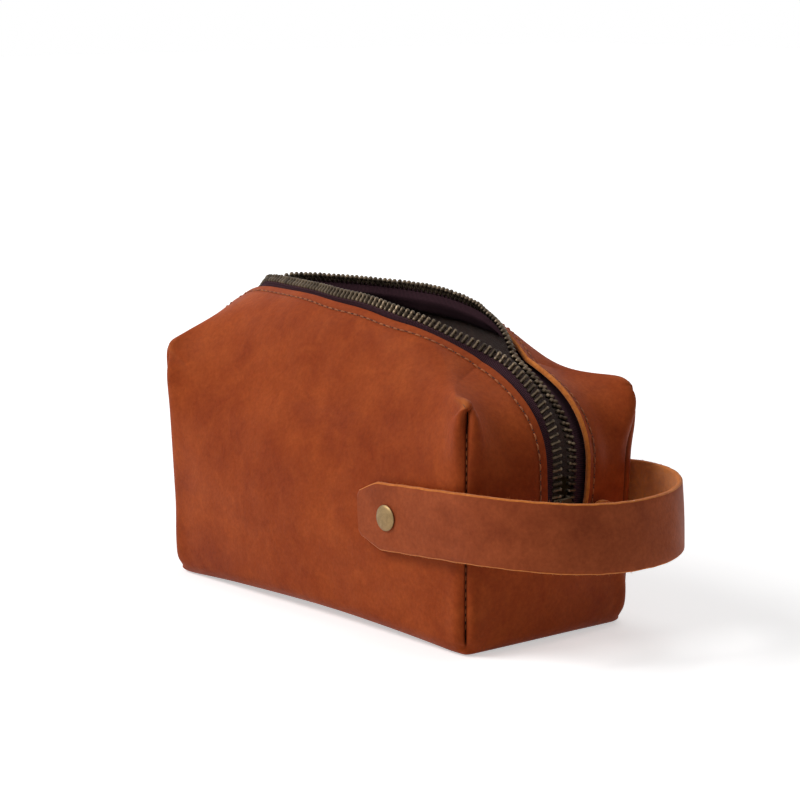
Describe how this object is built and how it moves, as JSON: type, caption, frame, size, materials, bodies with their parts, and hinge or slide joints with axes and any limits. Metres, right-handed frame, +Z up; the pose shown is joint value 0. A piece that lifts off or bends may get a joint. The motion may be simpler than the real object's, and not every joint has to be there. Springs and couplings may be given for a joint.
{
  "type": "toiletry bag",
  "caption": "Boxy leather toiletry bag, unzipped: a metal zipper runs over the top from end to end, and a wide leather strap loops round one end between two rivets.",
  "frame": {"origin": "on the table, under the middle of the bag's body, in the plane of the corners of its bottom", "axes": "+X along the bag towards the end with the strap loop, -Y towards its front side, +Z up"},
  "size_m": [0.252, 0.1042, 0.1265],
  "materials": {
    "leather": "waxed smooth grain, rust brown",
    "strap_leather": "smooth outside, napped inside, raw cut edges",
    "tape": "woven dark purple-brown zipper tape",
    "brass": "antique, darkened",
    "thread": "rust brown sewing thread"
  },
  "bodies": {
    "bag": {"leather_body": "leather", "zipper_tape_front": "tape", "zipper_tape_rear": "tape", "zipper_teeth_front": "brass", "zipper_teeth_rear": "brass", "zipper_bottom_stop": "brass", "zipper_top_stop_front": "brass", "zipper_top_stop_rear": "brass", "rivet_cap_front": "brass", "rivet_cap_rear": "brass", "rivet_post_front": "brass", "rivet_post_rear": "brass", "zipper_thread_front": "thread", "zipper_thread_rear": "thread", "corner_thread_front_left": "thread", "corner_thread_front_right": "thread", "corner_thread_rear_left": "thread", "corner_thread_rear_right": "thread", "end_thread_left": "thread", "end_thread_right": "thread"},
    "strap": {"strap_handle": "strap_leather"},
    "slider": {"zipper_slider": "brass"},
    "ring": {"pull_ring": "brass"},
    "tab": {"pull_tab": "strap_leather"}
  },
  "joints": [
    {"name": "strap_swing", "type": "hinge", "parent": "bag", "child": "strap", "pos_m": [0.0565, 0, 0.0492], "axis": [0, -1, 0], "range_deg": [-15, 20]},
    {"name": "slider_travel", "type": "slide", "parent": "bag", "child": "slider", "axis": [0.049, 0, 0.9988], "range_m": [0, 0.004]},
    {"name": "ring_swing", "type": "hinge", "parent": "slider", "child": "ring", "pos_m": [0.10468, 0, 0.05133], "axis": [0, -1, 0], "range_deg": [0, 110]},
    {"name": "tab_turn", "type": "hinge", "parent": "ring", "child": "tab", "pos_m": [0.10446, 0, 0.04693], "axis": [0.9988, 0, -0.049], "range_deg": [-180, 0]}
  ]
}
